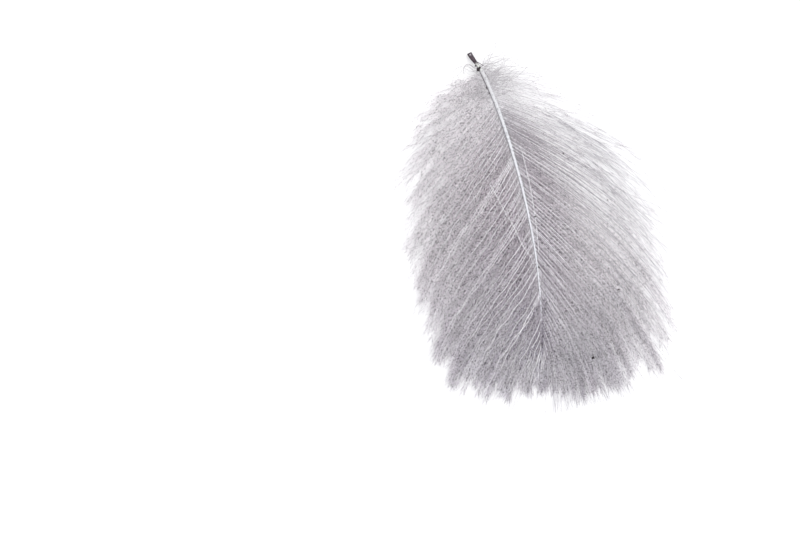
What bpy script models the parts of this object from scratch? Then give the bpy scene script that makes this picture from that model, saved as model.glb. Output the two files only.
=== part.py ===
"""A duck's preen-gland feather (cdc), lying on a flat surface with its outer side up.

Metres, +Z up. The chord of the shaft lies along Y with the quill's tip at +Y, and the
surface that the feather rests on is Z = 0. The origin is under the middle of the whole
feather. The shaft and all its locks grew as one piece, so they are one closed solid:
a tapered tube whose side faces are drawn out into the locks of the vane.
"""

import math
import random

import bmesh
import bpy
from mathutils import Vector

MM = 0.001

# Shaft: almost one arc in plan, from the quill's tip to the last barbs
SHAFT_LENGTH = 46.2 * MM
SHAFT_TURN = math.radians(26.5)
SHAFT_SIDES = 8
QUILL_RADIUS = 0.34 * MM
QUILL_NECK_RADIUS = 0.25 * MM
QUILL_NECK_PLACE = 0.058
RACHIS_RADIUS = 0.34 * MM
SHAFT_END_RADIUS = 0.045 * MM
QUILL_RINGS = 7
HOLLOW_DEPTH = 0.5 * MM
HOLLOW_SHARE = 0.62

# Where the middle of the shaft's chord stands, from the middle of the whole feather
CHORD_MIDDLE_X = -3.21 * MM
CHORD_MIDDLE_Y = 4.68 * MM

# How high the shaft's centre line stands over the surface
SHAFT_END_HEIGHT = 0.45 * MM
SHAFT_BOW = 3.2 * MM

# How far the rachis stands to the right of that arc, just past the quill
NECK_BEND = 0.42 * MM
NECK_BEND_PLACE = 0.08
NECK_BEND_FADE = 0.24

# Vane: places along the shaft, as shares of its length
VANE_START = 0.075
VANE_END = 0.985
LOCKS_PER_SIDE = 32
LOCK_CROWDING = 1.2
ROOT_GAP_SHARE = 0.08

# Barb directions, measured from the shaft's own direction towards the feather's tip
LEFT = -1
RIGHT = 1
MID_ANGLE = {LEFT: math.radians(41), RIGHT: math.radians(33)}
BASE_SPREAD = {LEFT: math.radians(44), RIGHT: math.radians(34)}
BASE_SPREAD_FADE = 0.14
TIP_CLOSING = {LEFT: math.radians(31), RIGHT: math.radians(24)}
TIP_CLOSING_POWER = 6
FLARE = {LEFT: math.radians(8), RIGHT: math.radians(2)}
SWEEP = {LEFT: math.radians(8), RIGHT: math.radians(22)}

# Barb lengths
LONGEST_BARB = {LEFT: 28.5 * MM, RIGHT: 35.5 * MM}
BASE_LENGTH_OFFSET = 0.04
BASE_LENGTH_FADE = 0.12
TIP_SHORTENING = {LEFT: 0.77, RIGHT: 0.84}
TIP_SHORTENING_POWER = {LEFT: 3, RIGHT: 2.4}
LENGTH_SCATTER = 0.06

# The last lock, in line with the shaft
END_LOCK_LENGTH = 6.2 * MM
END_LOCK_HALF_WIDTH = 0.3 * MM
END_LOCK_HALF_THICKNESS = 0.13 * MM
END_LOCK_RINGS = 7
END_LOCK_POINT_SHARE = 0.08

# Lock sections
LOCK_STEPS = 13
LOCK_THICKNESS = 0.5 * MM
TIP_THICKNESS = 0.16 * MM
THICKENING_SHARE = 0.16
TOP_INSET_SHARE = 0.16
SLIT_SHARE = 0.01
SLIT_WIDENING = 0.045
POINT_SHARE = 0.38
POINT_POWER = 7

# Lock heights: a low arch that comes down to lie on the surface
LANDING_PLACE = 0.76
ARCH_RISE = 0.9 * MM
RAISED_LOCK_RISE = 0.6 * MM
RAISED_LOCK_EVERY = 3
RAISED_TIP_HEIGHT = 1.5 * MM

SEED = 11


def smooth_step(share):
    share = min(max(share, 0.0), 1.0)
    return share * share * (3 - 2 * share)


def shaft_heading(place):
    """Plan angle of the shaft, from -Y towards +X, at a share of its length."""
    return SHAFT_TURN * (0.5 - place)


def shaft_centre(place):
    """Centre of the shaft at a share of its length from the quill's tip."""
    arc_radius = SHAFT_LENGTH / SHAFT_TURN
    heading = shaft_heading(place)
    x = CHORD_MIDDLE_X + arc_radius * (math.cos(heading) - math.cos(SHAFT_TURN / 2))
    y = CHORD_MIDDLE_Y + arc_radius * math.sin(heading)
    z = SHAFT_END_HEIGHT + SHAFT_BOW * 4 * place * (1 - place)
    past = max(place - NECK_BEND_PLACE, 0.0) / NECK_BEND_FADE
    bend = NECK_BEND * smooth_step(place / NECK_BEND_PLACE) * math.exp(-(past**2))
    return Vector((x + bend * math.cos(heading), y + bend * math.sin(heading), z))


def shaft_radius(place):
    """A quill that narrows to a neck, then a rachis that tapers to a hair."""
    if place < QUILL_NECK_PLACE:
        share = smooth_step(place / QUILL_NECK_PLACE)
        return QUILL_RADIUS + (QUILL_NECK_RADIUS - QUILL_RADIUS) * share
    swell = smooth_step((place - QUILL_NECK_PLACE) / (VANE_START - QUILL_NECK_PLACE))
    along = (place - QUILL_NECK_PLACE) / (1 - QUILL_NECK_PLACE)
    tapered = RACHIS_RADIUS + (SHAFT_END_RADIUS - RACHIS_RADIUS) * along
    return QUILL_NECK_RADIUS + (tapered - QUILL_NECK_RADIUS) * swell


def barb_angle(side, vane_place, along):
    """Angle between a barb and the shaft, at a share of the barb's length."""
    root = (
        MID_ANGLE[side]
        + BASE_SPREAD[side] * math.exp(-vane_place / BASE_SPREAD_FADE)
        - TIP_CLOSING[side] * vane_place**TIP_CLOSING_POWER
    )
    return root + FLARE[side] * math.sin(math.pi * along) - SWEEP[side] * along**2


def barb_length(side, vane_place):
    base = 1 - math.exp(-(vane_place + BASE_LENGTH_OFFSET) / BASE_LENGTH_FADE)
    tip = 1 - TIP_SHORTENING[side] * vane_place ** TIP_SHORTENING_POWER[side]
    return LONGEST_BARB[side] * base * tip


def barb_path(side, shaft_place, length, root):
    """Plan points of a barb's line, one for each step of a lock."""
    vane_place = (shaft_place - VANE_START) / (VANE_END - VANE_START)
    point = Vector((root.x, root.y))
    points = [point.copy()]
    for step in range(LOCK_STEPS):
        along = (step + 0.5) / LOCK_STEPS
        heading = shaft_heading(shaft_place) + side * barb_angle(side, vane_place, along)
        point = point + Vector((math.sin(heading), -math.cos(heading))) * length / LOCK_STEPS
        points.append(point.copy())
    return points


def lock_thickness(root_thickness, along, reach):
    grown = smooth_step(along / THICKENING_SHARE)
    fullest = TIP_THICKNESS + (LOCK_THICKNESS - TIP_THICKNESS) * reach
    full = fullest + (TIP_THICKNESS - fullest) * along**2
    return root_thickness + (full - root_thickness) * grown


def lock_floor(root_floor, along, reach, raised):
    """Height of a lock's underside at a share of its length."""
    rise = (ARCH_RISE + raised * RAISED_LOCK_RISE) * reach
    if along < LANDING_PLACE:
        share = along / LANDING_PLACE
        fallen = smooth_step(share)
        arch = rise * math.sin(math.pi * share) ** 2 * (1 - raised * share)
        landed = root_floor * (1 - fallen) + arch
    else:
        landed = 0.0
    return landed + raised * RAISED_TIP_HEIGHT * reach * smooth_step(along)


def shaft_ring(mesh, place):
    """One section of the shaft, with upright flats on its left and its right."""
    centre = shaft_centre(place)
    heading = shaft_heading(place)
    across = Vector((math.cos(heading), math.sin(heading), 0))
    radius = shaft_radius(place)
    ring = []
    for index in range(SHAFT_SIDES):
        angle = (index - 0.5) * math.tau / SHAFT_SIDES
        offset = across * math.cos(angle) + Vector((0, 0, 1)) * math.sin(angle)
        ring.append(mesh.verts.new(centre + offset * radius))
    return ring


def flat_corners(ring, side):
    """Lower and upper corner of the flat that faces one side."""
    if side == RIGHT:
        return ring[0], ring[1]
    half = SHAFT_SIDES // 2
    return ring[half + 1], ring[half]


def add_quad(mesh, corners, outward):
    """A face on four corners, turned to look along the outward direction."""
    face = mesh.faces.new(corners)
    face.normal_update()
    if face.normal.dot(outward) < 0:
        face.normal_flip()
    return face


def lock_section(mesh, near, far, floor, thickness, along):
    """Four corners across a lock: two below at full width, two above drawn in."""
    trimmed = SLIT_SHARE + SLIT_WIDENING * along + POINT_SHARE * along**POINT_POWER
    left = near.lerp(far, trimmed)
    right = far.lerp(near, trimmed)
    inset = TOP_INSET_SHARE * min(1.0, along / THICKENING_SHARE)
    top_left = left.lerp(right, inset)
    top_right = right.lerp(left, inset)
    heights = (floor, floor + thickness)
    return [
        mesh.verts.new((left.x, left.y, heights[0])),
        mesh.verts.new((top_left.x, top_left.y, heights[1])),
        mesh.verts.new((top_right.x, top_right.y, heights[1])),
        mesh.verts.new((right.x, right.y, heights[0])),
    ]


def add_lock(mesh, side, places, rings, chance, raised):
    """Draws one side flat of the shaft out into a curved, pointed lock."""
    near_low, near_high = flat_corners(rings[0], side)
    far_low, far_high = flat_corners(rings[1], side)
    middle_place = sum(places) / 2
    vane_place = (middle_place - VANE_START) / (VANE_END - VANE_START)
    scatter = 1 + LENGTH_SCATTER * chance.uniform(-1, 1)
    length = barb_length(side, vane_place) * scatter
    reach = length / LONGEST_BARB[side]
    near = barb_path(side, places[0], length, near_low.co)
    far = barb_path(side, places[1], length, far_low.co)
    root_floor = (near_low.co.z + far_low.co.z) / 2
    root_thickness = (near_high.co.z - near_low.co.z + far_high.co.z - far_low.co.z) / 2

    section = [near_low, near_high, far_high, far_low]
    for step in range(1, LOCK_STEPS + 1):
        along = step / LOCK_STEPS
        floor = lock_floor(root_floor, along, reach, raised)
        thickness = lock_thickness(root_thickness, along, reach)
        following = lock_section(mesh, near[step], far[step], floor, thickness, along)
        middle = sum((v.co for v in section + following), Vector()) / 8
        for index in range(4):
            after = (index + 1) % 4
            corners = (section[index], section[after], following[after], following[index])
            outward = sum((v.co for v in corners), Vector()) / 4 - middle
            add_quad(mesh, corners, outward)
        section = following
    add_quad(mesh, section, section[0].co - (near_low.co + far_low.co) / 2)


def join_rings(mesh, first, second, open_sides):
    """Side faces between two sections, leaving out the flats that locks grow from."""
    centre = sum((v.co for v in first + second), Vector()) / (2 * SHAFT_SIDES)
    for index in range(SHAFT_SIDES):
        after = (index + 1) % SHAFT_SIDES
        if open_sides and index in (0, SHAFT_SIDES // 2):
            continue
        corners = (first[index], first[after], second[after], second[index])
        outward = sum((v.co for v in corners), Vector()) / 4 - centre
        add_quad(mesh, corners, outward)


def close_quill(mesh, ring):
    """The quill's open end: a rim around a shallow hollow."""
    centre = sum((v.co for v in ring), Vector()) / SHAFT_SIDES
    heading = shaft_heading(0)
    inward = Vector((math.sin(heading), -math.cos(heading), 0))
    rim = [mesh.verts.new(centre.lerp(v.co, HOLLOW_SHARE)) for v in ring]
    hollow = [mesh.verts.new(v.co + inward * HOLLOW_DEPTH) for v in rim]
    for index in range(SHAFT_SIDES):
        after = (index + 1) % SHAFT_SIDES
        add_quad(mesh, (ring[index], ring[after], rim[after], rim[index]), -inward)
        wall = (rim[index], rim[after], hollow[after], hollow[index])
        add_quad(mesh, wall, centre + inward * HOLLOW_DEPTH / 2 - (wall[0].co + wall[2].co) / 2)
    add_quad(mesh, hollow, -inward)


def add_end_lock(mesh, ring):
    """The lock that carries the shaft's line on to the feather's tip."""
    heading = shaft_heading(1)
    ahead = Vector((math.sin(heading), -math.cos(heading), 0))
    across = Vector((math.cos(heading), math.sin(heading), 0))
    start = shaft_centre(1)
    for step in range(1, END_LOCK_RINGS + 1):
        along = step / END_LOCK_RINGS
        fullness = max(math.sin(math.pi * along**0.7), END_LOCK_POINT_SHARE)
        half_width = SHAFT_END_RADIUS + (END_LOCK_HALF_WIDTH - SHAFT_END_RADIUS) * fullness
        half_height = SHAFT_END_RADIUS + (END_LOCK_HALF_THICKNESS - SHAFT_END_RADIUS) * fullness
        centre = start + ahead * END_LOCK_LENGTH * along
        centre.z += (half_height - start.z) * smooth_step(along)
        following = []
        for index in range(SHAFT_SIDES):
            angle = (index - 0.5) * math.tau / SHAFT_SIDES
            offset = across * math.cos(angle) * half_width
            offset.z = math.sin(angle) * half_height
            following.append(mesh.verts.new(centre + offset))
        join_rings(mesh, ring, following, open_sides=False)
        ring = following
    add_quad(mesh, ring, ahead)


def vane_places():
    """Start and end of every lock along the shaft, closer together near the quill."""
    shares = [(index / LOCKS_PER_SIDE) ** LOCK_CROWDING for index in range(LOCKS_PER_SIDE + 1)]
    edges = [VANE_START + (VANE_END - VANE_START) * share for share in shares]
    return [(near, far - (far - near) * ROOT_GAP_SHARE) for near, far in zip(edges, edges[1:])]


def build_feather_mesh():
    chance = random.Random(SEED)
    mesh = bmesh.new()
    quill_places = [VANE_START * index / QUILL_RINGS for index in range(QUILL_RINGS)]
    rings = [shaft_ring(mesh, place) for place in quill_places]
    close_quill(mesh, rings[0])
    for first, second in zip(rings, rings[1:]):
        join_rings(mesh, first, second, open_sides=False)
    last = rings[-1]
    for index, places in enumerate(vane_places()):
        pair = [shaft_ring(mesh, place) for place in places]
        join_rings(mesh, last, pair[0], open_sides=False)
        join_rings(mesh, pair[0], pair[1], open_sides=True)
        for side in (LEFT, RIGHT):
            raised = 1 if (index + (side == RIGHT)) % RAISED_LOCK_EVERY == 0 else 0
            add_lock(mesh, side, places, pair, chance, raised)
        last = pair[1]
    end = shaft_ring(mesh, 1.0)
    join_rings(mesh, last, end, open_sides=False)
    add_end_lock(mesh, end)
    return mesh


def feather_material():
    material = bpy.data.materials.new("feather")
    material.use_nodes = True
    shader = material.node_tree.nodes["Principled BSDF"]
    shader.inputs["Base Color"].default_value = (0.50, 0.47, 0.50, 1)
    shader.inputs["Roughness"].default_value = 0.8
    shader.inputs["Metallic"].default_value = 0.0
    return material


def main():
    for item in list(bpy.data.objects):
        bpy.data.objects.remove(item, do_unlink=True)
    mesh = build_feather_mesh()
    data = bpy.data.meshes.new("feather")
    mesh.to_mesh(data)
    mesh.free()
    data.materials.append(feather_material())
    feather = bpy.data.objects.new("feather", data)
    bpy.context.scene.collection.objects.link(feather)


main()
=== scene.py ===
"""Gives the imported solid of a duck's preen-gland feather (cdc) its looks.

One feather lies on a pale floor with its outer side up. Its shaft, barbs, barbules,
base down, stray barbs and dirt are meshes that stand for the solid and follow the same
lines: the shaft's arc in plan, and the locks' directions, lengths and heights. Lengths
are in millimetres, in the solid's own axes, and become metres when an object is made.
"""

import math
import random
from dataclasses import dataclass
from math import radians

import bmesh
import bpy
import numpy as np
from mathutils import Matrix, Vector, kdtree


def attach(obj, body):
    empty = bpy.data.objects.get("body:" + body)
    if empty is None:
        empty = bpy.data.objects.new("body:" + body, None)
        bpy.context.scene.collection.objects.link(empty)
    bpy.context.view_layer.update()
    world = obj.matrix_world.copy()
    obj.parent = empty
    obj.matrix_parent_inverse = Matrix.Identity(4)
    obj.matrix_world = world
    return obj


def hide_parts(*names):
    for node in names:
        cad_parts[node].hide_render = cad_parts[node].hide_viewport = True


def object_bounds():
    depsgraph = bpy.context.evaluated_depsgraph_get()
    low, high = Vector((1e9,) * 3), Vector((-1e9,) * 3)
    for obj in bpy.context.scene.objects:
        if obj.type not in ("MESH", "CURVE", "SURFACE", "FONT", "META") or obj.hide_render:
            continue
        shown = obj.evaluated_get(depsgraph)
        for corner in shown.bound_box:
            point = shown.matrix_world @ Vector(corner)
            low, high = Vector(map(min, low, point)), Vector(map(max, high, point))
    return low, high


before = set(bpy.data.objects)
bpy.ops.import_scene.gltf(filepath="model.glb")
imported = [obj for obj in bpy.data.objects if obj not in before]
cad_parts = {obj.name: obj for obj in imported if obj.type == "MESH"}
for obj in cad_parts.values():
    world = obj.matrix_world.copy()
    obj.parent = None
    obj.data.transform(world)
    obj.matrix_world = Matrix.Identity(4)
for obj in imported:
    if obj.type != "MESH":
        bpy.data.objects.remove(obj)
cad_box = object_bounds()

MM = 0.001
NODE = "feather"
BODY = "root"
SEED = 5

# Shaft: almost one arc in plan, from the quill's tip to the last barbs
SHAFT_LENGTH = 46.2
SHAFT_TURN = radians(26.5)
QUILL_RADIUS = 0.37
QUILL_NECK_RADIUS = 0.25
QUILL_NECK_PLACE = 0.058
RACHIS_RADIUS = 0.34
SHAFT_END_RADIUS = 0.045
CHORD_MIDDLE_X = -3.21
CHORD_MIDDLE_Y = 4.68
SHAFT_END_HEIGHT = 0.45
SHAFT_BOW = 3.2

# How far the rachis stands to the right of that arc, just past the quill
NECK_BEND = 0.42
NECK_BEND_PLACE = 0.08
NECK_BEND_FADE = 0.24

# Vane: places along the shaft, as shares of its length
VANE_START = 0.075
VANE_END = 0.985
LOCKS_PER_SIDE = 32
LOCK_CROWDING = 1.2
ROOT_GAP_SHARE = 0.08

# Barb directions, measured from the shaft's own direction towards the feather's tip
LEFT = -1
RIGHT = 1
SIDE_NAMES = {LEFT: "left", RIGHT: "right"}
MID_ANGLE = {LEFT: radians(41), RIGHT: radians(33)}
BASE_SPREAD = {LEFT: radians(44), RIGHT: radians(34)}
BASE_SPREAD_FADE = 0.14
TIP_CLOSING = {LEFT: radians(31), RIGHT: radians(24)}
TIP_CLOSING_POWER = 6
FLARE = {LEFT: radians(8), RIGHT: radians(2)}
SWEEP = {LEFT: radians(8), RIGHT: radians(22)}

# Lock lengths
LONGEST_BARB = {LEFT: 28.5, RIGHT: 35.5}
BASE_LENGTH_OFFSET = 0.04
BASE_LENGTH_FADE = 0.12
TIP_SHORTENING = {LEFT: 0.77, RIGHT: 0.84}
TIP_SHORTENING_POWER = {LEFT: 3, RIGHT: 2.4}
LENGTH_SCATTER = 0.06
LOCK_SEED = 11
END_LOCK_LENGTH = 6.2

# Lock heights: a low arch that comes down to lie on the surface
LOCK_THICKNESS = 0.5
TIP_THICKNESS = 0.16
THICKENING_SHARE = 0.16
LANDING_PLACE = 0.76
ARCH_RISE = 0.9
RAISED_LOCK_RISE = 0.6
RAISED_LOCK_EVERY = 3
RAISED_TIP_HEIGHT = 1.5
RAISED_TIP_POWER = 3
SHAFT_FLAT_ANGLE = math.pi / 8

# Shaft mesh, with closer rings near the quill, and painted shade on its flanks that is weaker on
# its right flank past the quill
SHAFT_SIDES = 20
SHAFT_RINGS = 170
HOLLOW_DEPTH = 0.5
HOLLOW_SHARE = 0.62
FINE_RINGS = 50
FINE_RINGS_END = 0.1
RIGHT_FLANK_SHADE_SHARE = 0.3

# Share of a tube's row in the UV square that stays free at each edge
UV_MARGIN = 0.05

# Barbs, as slender tubes
MOST_BARBS = {LEFT: 6, RIGHT: 7}
FEWEST_BARBS = 4
FEWEST_BARBS_PLACE = {LEFT: 0.4, RIGHT: 0.3}
BARB_MARGIN = -0.8
TOP_MARGIN = 0.06
LOWEST_POINT = 0.004
BARB_RINGS = 33
BARB_SIDES = 4
ROOT_INSET = 0.85
BARB_RADIUS_PLACES = (0.0, 0.12, 0.6, 1.0)
BARB_RADII = {LEFT: (0.048, 0.043, 0.04, 0.02), RIGHT: (0.05, 0.043, 0.03, 0.016)}
BARB_RADIUS_RANGE = (0.8, 1.2)
TONE_RADIUS_RANGE = (0.75, 1.15)
BASE_FINENESS = 0.6
BASE_FINENESS_PLACE = 0.25
BARB_LENGTH_SCATTER = 0.1
BARB_LENGTH_LIMITS = (-0.24, 0.03)
TURN_POWER = 0.7

# Thin fringe near the quill: how far barbs are shortened there, and how unevenly
FRINGE_SHORTENING = {LEFT: 0.0, RIGHT: 0.48}
FRINGE_START = 0.1
FRINGE_SPAN = 0.19
FRINGE_POWER = 1.3
FRINGE_STEP = 0.618034

# How barbs differ from their neighbours in direction, tone and height
BARB_TURN_SCATTER = {LEFT: radians(1.2), RIGHT: radians(0.25)}
PROMINENT_EVERY = {LEFT: 3, RIGHT: 2}
ODD_PROMINENCE = 0.12
PROMINENT_TONE = 0.85
PLAIN_TONE = 0.15
TONE_SCATTER = 0.15
WAVE_LENGTHS = (4.0, 9.0)
WAVE_HEIGHTS = {LEFT: 0.13, RIGHT: 0.04}
WAVE_HEIGHT_RANGE = (0.3, 1.0)
WAVE_GROWTH = 0.4
LOOSE_BASE_FADE = 0.1
LOOSE_BASE_TURN = radians(4)
LAYERS = {LEFT: (0.3, 1.5), RIGHT: (0.4, 1.15)}
ROOT_LAYER = 0.5
LAYERING_SHARE = 0.2
TIP_LIFT = 0.35
MOST_LIFTS = 3
END_BARBS = 7
END_LENGTH_RANGE = (0.95, 1.15)
END_TURNS = (1.2, 0.15)

# Painted shade: a dark flattened thread just under each barb, which shows as a dark strip along
# both sides of it
SHADE_STRIP_PLACES = (0.0, 0.06, 0.25, 0.5, 0.75, 1.0)
SHADE_STRIP_RADII = (0.08, 0.1, 0.08, 0.04, 0.02, 0.004)
LEAST_SHADE_STRIP_RADIUS = 0.004
SHADE_STRIP_FLATNESS = 0.16
SHADE_STRIP_DROP = 0.05

# Barbules, as bent slivers that are widest in the middle and stand in small bunches
BUNCH_SPACING = 0.25
BARBULES_PER_BUNCH = 2
BUNCH_SPREAD = 0.018
TUFT_BUNCHES = 2
BARB_TONE_SHARE = 0.2
LAST_ROOT_PLACE = 0.999
BARBULE_LENGTH_PLACES = (0.0, 0.25, 0.7, 1.0)
BARBULE_LENGTHS = (0.9, 1.45, 2.0, 1.4)
BUNCH_LENGTH_RANGE = (0.65, 1.25)
BARBULE_LENGTH_RANGE = (0.75, 1.1)
BARBULE_ROOT_ANGLE = radians(36)
BARBULE_TIP_ANGLE = radians(20)
CLOSING_POWER = 0.7
BASE_ANGLE_SHARE = 0.5
BASE_LENGTH_GAIN = 0.5
BUNCH_ANGLE_SCATTER = radians(7)
BARBULE_ANGLE_SCATTER = radians(5)
BUNCH_TILTS = {LEFT: (radians(-45), radians(-4)), RIGHT: (radians(-45), 0.0)}
BARBULE_TILT_SCATTER = radians(7)
BARBULE_BEND = 0.07
BARBULE_HALF_WIDTH = 0.026
BARBULE_TIP_WIDTH_SHARE = 0.6
BARBULE_WIDTH_RANGE = (0.75, 1.25)
BARBULE_MIDDLE = 0.4
ZONE_ENDS = {"quill": 0.33, "middle": 0.62, "tip": 1.2}

# How dense the barbules stand: sparser near the quill, and fading out along each barb
BASE_DENSITY = {LEFT: 0.32, RIGHT: 0.25}
FULL_DENSITY_PLACE = 0.35
DENSITY_GAIN = 0.4
FADE_START = {LEFT: (0.4, 0.65), RIGHT: (-0.35, 0.33)}
FADE_SPAN = {LEFT: 0.5, RIGHT: 0.45}
FADE_SCATTER = 0.08
LAST_FADE_PLACE = 0.6
LEAST_DENSITY = {LEFT: (0.45, 0.9), RIGHT: (0.12, 0.95)}
LEAST_DENSITY_PLACE = 0.75
LEAST_DENSITY_POWER = 1.5
END_DENSITY = 0.42
END_DENSITY_PLACE = 0.9
END_DENSITY_SPAN = 0.12
DENSITY_STEPS = 160

# How pale the barbules are: where on the barb that starts, over what share of the barb
# it grows, and how far it goes at the quill and at the tip of the vane
PALENESS = {LEFT: (0.1, 0.6, 0.68, 0.15), RIGHT: (0.02, 0.35, 1.4, 0.3)}
BASE_PALENESS = 0.9
BASE_PALENESS_PLACE = 0.5

# Streaks of tone over the web, which run along the barbs: how many barbs apart they are
STREAK_CELLS = 96
BARB_SPACING = 0.28
BARB_FANNING = 1.5

# Stray barbs, which leave their neighbours and lie across the vane or past its edge: how
# many, where on their barbs they start, and lengths, then turns in degrees and bends in
# radians, each as mean and spread, and radii at both ends
STRAY_RINGS = 28
STRAY_SIDES = 3
FIRST_STRAY_OWNER = {LEFT: 14, RIGHT: 28}
STRAY_CURLS = (0.02, 0.12)
CURL_TURNS = (0.8, 2.2)
STRAY_CLEARANCE = 0.18
STRAY_RISE_SHARE = 0.12
STRAY_MARGIN = 0.75
TAPER_POWER = 0.7
THREAD_RADIUS_RANGE = (0.75, 1.2)
STRAYS = {
    LEFT: {
        "crossing": (120, (0.1, 0.7), (6.0, 16.0), (0, 12), (0.0, 0.35), (0.038, 0.014)),
        "edge": (260, (0.4, 0.85), (5.0, 12.0), (0, 5), (0.1, 0.25), (0.024, 0.012)),
    },
    RIGHT: {
        "crossing": (24, (0.15, 0.6), (6.0, 14.0), (0, 12), (0.0, 0.4), (0.02, 0.007)),
        "edge": (420, (0.25, 0.8), (7.0, 17.0), (1, 3.5), (-0.2, 0.14), (0.025, 0.014)),
    },
}

# Threads seen over the vane: distance along the shaft and offset to its right
LOOSE_THREADS = {
    "beside_shaft": ((15.8, 1.4), (17.7, 1.37), (19.6, 1.31), (22.5, 1.18), (25.8, 0.95),
                     (29.2, 0.72), (31.7, 0.51)),
    "over_left_vane": ((20.0, -4.6), (22.1, -4.05), (25.1, -3.29), (27.2, -2.56),
                       (30.1, -1.81), (32.1, -0.91), (33.4, -0.49)),
}
LOOSE_THREAD_RADII = (0.06, 0.05)
LOOSE_THREAD_CLEARANCE = 0.1

# Down at the foot of the vane
DOWN_THREADS = 150
DOWN_RINGS = 26
DOWN_PLACES = (0.054, 0.17)
DOWN_ANGLES = (radians(55), radians(125))
DOWN_LENGTHS = (3.0, 9.0)
DOWN_INSET = 0.8
DOWN_BEND = (-0.4, 0.6)
DOWN_CURLS = (0.285, 0.95)
DOWN_RISE = (-1.3, 0.9)
LOWEST_DOWN = 0.03
DOWN_RADII = (0.028, 0.016)

# Torn sheath at the quill: radii at both ends and tone of each thread, then its corners,
# as distance along the shaft, offset to its right and height over its centre
TORN_THREADS = {
    "hook": ((0.055, 0.022), 0.0, (1.75, 0.25, 0.1), (2.3, 0.5, 0.1), (2.75, 0.72, 0.15),
             (3.05, 1.2, 0.2)),
    "loop": ((0.045, 0.025), 0.6, (2.6, -0.2, 0.1), (2.4, -0.64, 0.2), (1.6, -0.97, 0.4),
             (1.45, -1.38, 0.5), (1.8, -2.05, 0.4), (2.6, -2.5, 0.2)),
    "left_edge": ((0.04, 0.02), 0.0, (3.0, -0.26, 0.02), (4.2, -0.32, 0.06),
                  (5.5, -0.31, 0.1), (7.2, -0.3, 0.1)),
    "right_edge": ((0.03, 0.012), 0.0, (3.5, 0.34, 0.0), (4.2, 0.42, 0.08), (5.0, 0.5, 0.1)),
}
TORN_SIDES = 6
TORN_RINGS = 26

# Crumbs of sheath on the shaft (distance along it, offset, size) and dirt on the vane
SHEATH_CRUMBS = ((2.8, -0.2, 0.32), (3.0, -0.34, 0.26), (2.75, 0.02, 0.2), (2.2, -0.3, 0.14),
                 (5.95, -0.38, 0.1), (6.9, -0.35, 0.09))
DIRT_SPECKS = ((26.3, 12.25, 0.11), (26.5, 0.94, 0.14), (30.5, 1.17, 0.13), (34.0, 0.24, 0.15),
               (33.8, 6.72, 0.13), (38.4, 11.89, 0.17), (30.5, -3.86, 0.13), (26.8, -1.37, 0.12),
               (18.7, 7.29, 0.11), (28.0, -7.5, 0.11), (37.0, -6.0, 0.11), (47.6, 7.71, 0.19))
SPECK_CLEARANCE = 0.2
SHEATH_CRUMB_HEIGHT = 0.2
CRUMB_ROUGHNESS = 0.28
CRUMB_STRETCH = (0.6, 1.15)

# Colours of the shaft by place along it, and of the barbules by tone
SHAFT_ZONES = (
    (0.0, (0.06, 0.045, 0.055)), (0.024, (0.085, 0.064, 0.076)), (0.038, (0.03, 0.018, 0.026)),
    (0.043, (0.5, 0.5, 0.48)), (0.056, (0.6, 0.62, 0.58)), (0.075, (0.56, 0.56, 0.57)),
    (0.3, (0.63, 0.64, 0.66)), (0.65, (0.67, 0.68, 0.71)), (0.85, (0.77, 0.78, 0.81)),
    (1.0, (0.66, 0.65, 0.69)),
)
BARBULE_TONES = (
    (0.05, (0.56, 0.49, 0.55)), (0.5, (0.87, 0.785, 0.855)), (0.95, (1.0, 0.945, 0.98)),
)

# Colours of dim barbs, of bright ones and of their outer ends: the dim barbs lie lower, and their
# darker colour is partly painted shade and partly tone that differs from barb to barb
BARB_COLOURS = {
    LEFT: ((0.5, 0.48, 0.5), (0.96, 0.96, 0.97), (0.87, 0.86, 0.88)),
    RIGHT: ((0.36, 0.34, 0.37), (0.92, 0.91, 0.93), (0.38, 0.37, 0.42)),
}
THREAD_COLOURS = ((0.8, 0.8, 0.81), (1.0, 1.0, 1.0), (0.98, 0.98, 1.0))

# Plainer materials: the attribute and the ramp that set the colour, the size of the grain,
# a tint and how the grain spreads it, roughness, height of the bump and specular level
GRAINED_LOOKS = {
    # Painted shade: the dark strips along the barbs
    "shade_strips": (
        "along", ((0.0, (0.28, 0.25, 0.28)), (0.4, (0.4, 0.36, 0.4)), (0.6, (0.5, 0.48, 0.52))),
        0.5, (0.5, 0.465, 0.5), (0.0, 0.7, 0.35, 0.7), (0.6, 0.85), 0.01, 0.2,
    ),
    "down": (
        "tone", ((0.0, (0.33, 0.31, 0.33)), (1.0, (0.68, 0.66, 0.68))),
        0.4, (0.5, 0.48, 0.5), (0.0, 0.4), (0.5, 0.8), 0.004, 0.3,
    ),
    "sheath": (
        "tone", ((0.0, (0.1, 0.075, 0.09)), (1.0, (0.55, 0.53, 0.55))),
        0.1, (0.2, 0.16, 0.18), (0.0, 0.6), (0.4, 0.7), 0.01, 0.3,
    ),
    "dirt": (
        "tone", ((0.0, (0.014, 0.01, 0.012)), (1.0, (0.04, 0.03, 0.034))),
        0.06, (0.06, 0.05, 0.05), (0.0, 0.5), (0.5, 0.9), 0.02, 0.3,
    ),
}
BUMP_STRENGTH = 0.6

# Camera: straight above the middle of the photographed view
VIEW_WIDTH = 120.0
VIEW_MIDDLE = (CHORD_MIDDLE_X - 17.82, CHORD_MIDDLE_Y - 5.83)
VIEW_TURN = radians(13.85)
VIEW_PLANE_HEIGHT = 2.0
LENS = 100.0
SENSOR_WIDTH = 36.0
CLIP_RANGE = (0.01, 10)

# Light: an even pale studio, a soft lamp from the upper right and a faintly lit floor
WORLD_COLOUR = (0.98, 0.98, 1.0, 1)
WORLD_STRENGTH = 0.95
KEY_PLACE = (0.3, 0.2, 0.6)
KEY_SIZE = 0.5
KEY_POWER = 3.2
FLOOR_SIZE = 4.0
FLOOR_GLOW = 0.4

UP = np.array((0.0, 0.0, 1.0))

# Keeps the direction across a thread from vanishing where the thread stands upright
NUDGE = np.array((1e-6, 0, 0))


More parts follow.
